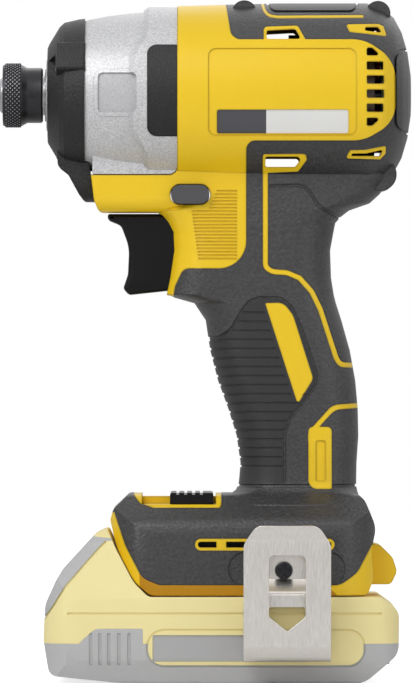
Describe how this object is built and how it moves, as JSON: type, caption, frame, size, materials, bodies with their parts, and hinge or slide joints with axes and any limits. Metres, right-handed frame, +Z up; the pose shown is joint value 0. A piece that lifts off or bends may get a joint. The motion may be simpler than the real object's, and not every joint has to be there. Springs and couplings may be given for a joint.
{
  "type": "cordless impact driver",
  "caption": "Pistol-grip cordless impact driver with a hex quick-release chuck, sliding hammer and planetary drive, belt hook and slide-on battery pack.",
  "frame": {"origin": "middle of the battery pack's flat underside, in the parting plane of the housing halves", "axes": "+X towards the back of the tool, -X towards the chuck, +Z up through the handle, -Y towards the tool's left side, where the belt hook is"},
  "size_m": [0.1355, 0.0906, 0.2243],
  "materials": {
    "anvil": "ground steel",
    "anvil_bush": "sintered bronze",
    "bearing_plate": "moulded satin",
    "belt_hook": "satin plated steel",
    "cam_balls": "ground steel",
    "cam_spindle": "hardened gear steel",
    "cell_straps": "nickel strip",
    "chuck_clip": "oiled spring wire",
    "chuck_sleeve": "black-oxide steel",
    "chuck_spring": "oiled spring wire",
    "chuck_washers": "ground steel",
    "controller_module": "moulded satin",
    "cooling_fan": "moulded fan",
    "detent_balls": "ground steel",
    "gauge_button": "moulded satin",
    "gauge_leds": "clear moulded lens",
    "gearcase": "die-cast, satin painted",
    "gearcase_pads": "satin rubber",
    "hammer": "black-oxide steel",
    "hammer_spring": "oiled spring wire",
    "hook_inserts": "knurled brass",
    "hook_screw": "ground steel",
    "housing_left": "glass-filled nylon, fine spark texture",
    "housing_right": "glass-filled nylon, fine spark texture",
    "housing_screws": "black-oxide steel",
    "latch_springs": "oiled spring wire",
    "led_board": "solder-masked board",
    "led_lenses": "clear moulded lens",
    "mode_board": "solder-masked board",
    "mode_slider": "moulded satin",
    "mode_tray": "glass-filled nylon, fine spark texture",
    "nose_boot": "satin rubber",
    "overmould_left": "soft grained overmould",
    "overmould_right": "soft grained overmould",
    "pack_board": "solder-masked board",
    "pack_cells": "shrink-wrapped cells",
    "pack_latch": "glass-filled nylon, fine spark texture",
    "pack_lower": "moulded grey",
    "pack_screws": "black-oxide steel",
    "pack_upper": "glass-filled nylon, fine spark texture",
    "planet_gear_1": "hardened gear steel",
    "planet_gear_2": "hardened gear steel",
    "planet_gear_3": "hardened gear steel",
    "planet_pins": "ground steel",
    "plate_screws": "black-oxide steel",
    "reverse_button": "moulded satin",
    "ring_gear": "hardened gear steel",
    "rotor_bearings": "ground steel",
    "rotor_core": "stacked laminations",
    "rotor_shaft": "hardened gear steel",
    "sensor_board": "solder-masked board",
    "spindle_bearing": "ground steel",
    "spring_washer": "ground steel",
    "stator_core": "stacked laminations",
    "stator_windings": "enamelled copper",
    "switch_body": "moulded satin",
    "terminal_block": "moulded satin",
    "trigger": "moulded satin",
    "trigger_spring": "oiled spring wire",
    "wire_leads": "silicone wire insulation"
  },
  "bodies": {
    "tool": {"housing_left": "housing_left", "housing_right": "housing_right", "overmould_left": "overmould_left", "overmould_right": "overmould_right", "housing_screws": "housing_screws", "hook_inserts": "hook_inserts", "gearcase": "gearcase", "gearcase_pads": "gearcase_pads", "anvil_bush": "anvil_bush", "nose_boot": "nose_boot", "led_lenses": "led_lenses", "led_board": "led_board", "ring_gear": "ring_gear", "bearing_plate": "bearing_plate", "plate_screws": "plate_screws", "spindle_bearing": "spindle_bearing", "rotor_bearings": "rotor_bearings", "stator_core": "stator_core", "stator_windings": "stator_windings", "sensor_board": "sensor_board", "switch_body": "switch_body", "trigger_spring": "trigger_spring", "mode_tray": "mode_tray", "mode_board": "mode_board", "controller_module": "controller_module", "terminal_block": "terminal_block", "wire_leads": "wire_leads", "belt_hook": "belt_hook", "hook_screw": "hook_screw"},
    "spindle": {"cam_spindle": "cam_spindle", "planet_pins": "planet_pins", "cam_balls": "cam_balls", "spring_washer": "spring_washer", "hammer_spring": "hammer_spring"},
    "hammer": {"hammer": "hammer"},
    "planet_1": {"planet_gear_1": "planet_gear_1"},
    "planet_2": {"planet_gear_2": "planet_gear_2"},
    "planet_3": {"planet_gear_3": "planet_gear_3"},
    "rotor": {"rotor_shaft": "rotor_shaft", "rotor_core": "rotor_core", "cooling_fan": "cooling_fan"},
    "anvil": {"anvil": "anvil", "detent_balls": "detent_balls", "chuck_clip": "chuck_clip", "chuck_washers": "chuck_washers", "chuck_spring": "chuck_spring"},
    "sleeve": {"chuck_sleeve": "chuck_sleeve"},
    "trigger": {"trigger": "trigger"},
    "reverse_button": {"reverse_button": "reverse_button"},
    "mode_slider": {"mode_slider": "mode_slider"},
    "pack": {"pack_lower": "pack_lower", "pack_upper": "pack_upper", "pack_screws": "pack_screws", "pack_cells": "pack_cells", "cell_straps": "cell_straps", "pack_board": "pack_board", "gauge_leds": "gauge_leds", "latch_springs": "latch_springs"},
    "latch": {"pack_latch": "pack_latch"},
    "gauge_button": {"gauge_button": "gauge_button"}
  },
  "joints": [
    {"name": "spindle_spin", "type": "hinge", "parent": "tool", "child": "spindle", "pos_m": [0, 0, 0.1932], "axis": [1, 0, 0], "continuous": true},
    {"name": "rotor_spin", "type": "hinge", "parent": "tool", "child": "rotor", "pos_m": [0.03, 0, 0.1932], "axis": [1, 0, 0], "continuous": true},
    {"name": "hammer_slide", "type": "slide", "parent": "spindle", "child": "hammer", "axis": [1, 0, 0], "range_m": [0, 0.006], "stiffness_N_per_m": 9000, "springref_m": -0.006, "deforming": ["hammer_spring"]},
    {"name": "anvil_spin", "type": "hinge", "parent": "tool", "child": "anvil", "pos_m": [-0.06, 0, 0.1932], "axis": [1, 0, 0], "continuous": true},
    {"name": "sleeve_slide", "type": "slide", "parent": "anvil", "child": "sleeve", "axis": [-1, 0, 0], "range_m": [0, 0.004], "stiffness_N_per_m": 1500, "springref_m": -0.003, "deforming": ["chuck_spring"]},
    {"name": "trigger_pull", "type": "slide", "parent": "tool", "child": "trigger", "axis": [1, 0, 0], "range_m": [0, 0.006], "stiffness_N_per_m": 1200, "springref_m": -0.003, "deforming": ["trigger_spring"]},
    {"name": "reverse_push", "type": "slide", "parent": "tool", "child": "reverse_button", "axis": [0, 1, 0], "range_m": [-0.003, 0.003]},
    {"name": "mode_slide", "type": "slide", "parent": "tool", "child": "mode_slider", "axis": [-1, 0, 0], "range_m": [0, 0.0086]},
    {"name": "pack_slide", "type": "slide", "parent": "tool", "child": "pack", "axis": [-1, 0, 0], "range_m": [0, 0.075]},
    {"name": "latch_press", "type": "slide", "parent": "pack", "child": "latch", "axis": [0.8414, 0, -0.5404], "range_m": [0, 0.0025], "stiffness_N_per_m": 1500, "springref_m": -0.003, "deforming": ["latch_springs"]},
    {"name": "gauge_press", "type": "slide", "parent": "pack", "child": "gauge_button", "axis": [-1, 0, 0], "range_m": [0, 0.0008], "stiffness_N_per_m": 1500, "springref_m": -0.0008},
    {"name": "planet_1_spin", "type": "hinge", "parent": "spindle", "child": "planet_1", "pos_m": [0, 0, 0.2052], "axis": [1, 0, 0], "continuous": true},
    {"name": "planet_2_spin", "type": "hinge", "parent": "spindle", "child": "planet_2", "pos_m": [0, -0.01039, 0.1872], "axis": [1, 0, 0], "continuous": true},
    {"name": "planet_3_spin", "type": "hinge", "parent": "spindle", "child": "planet_3", "pos_m": [0, 0.01039, 0.1872], "axis": [1, 0, 0], "continuous": true}
  ],
  "couplings": [
    {"joint": "rotor_spin", "follows": "spindle_spin", "ratio": 5.3333},
    {"joint": "anvil_spin", "follows": "spindle_spin", "ratio": 1},
    {"joint": "planet_1_spin", "follows": "spindle_spin", "ratio": -2.6},
    {"joint": "planet_2_spin", "follows": "spindle_spin", "ratio": -2.6},
    {"joint": "planet_3_spin", "follows": "spindle_spin", "ratio": -2.6}
  ]
}
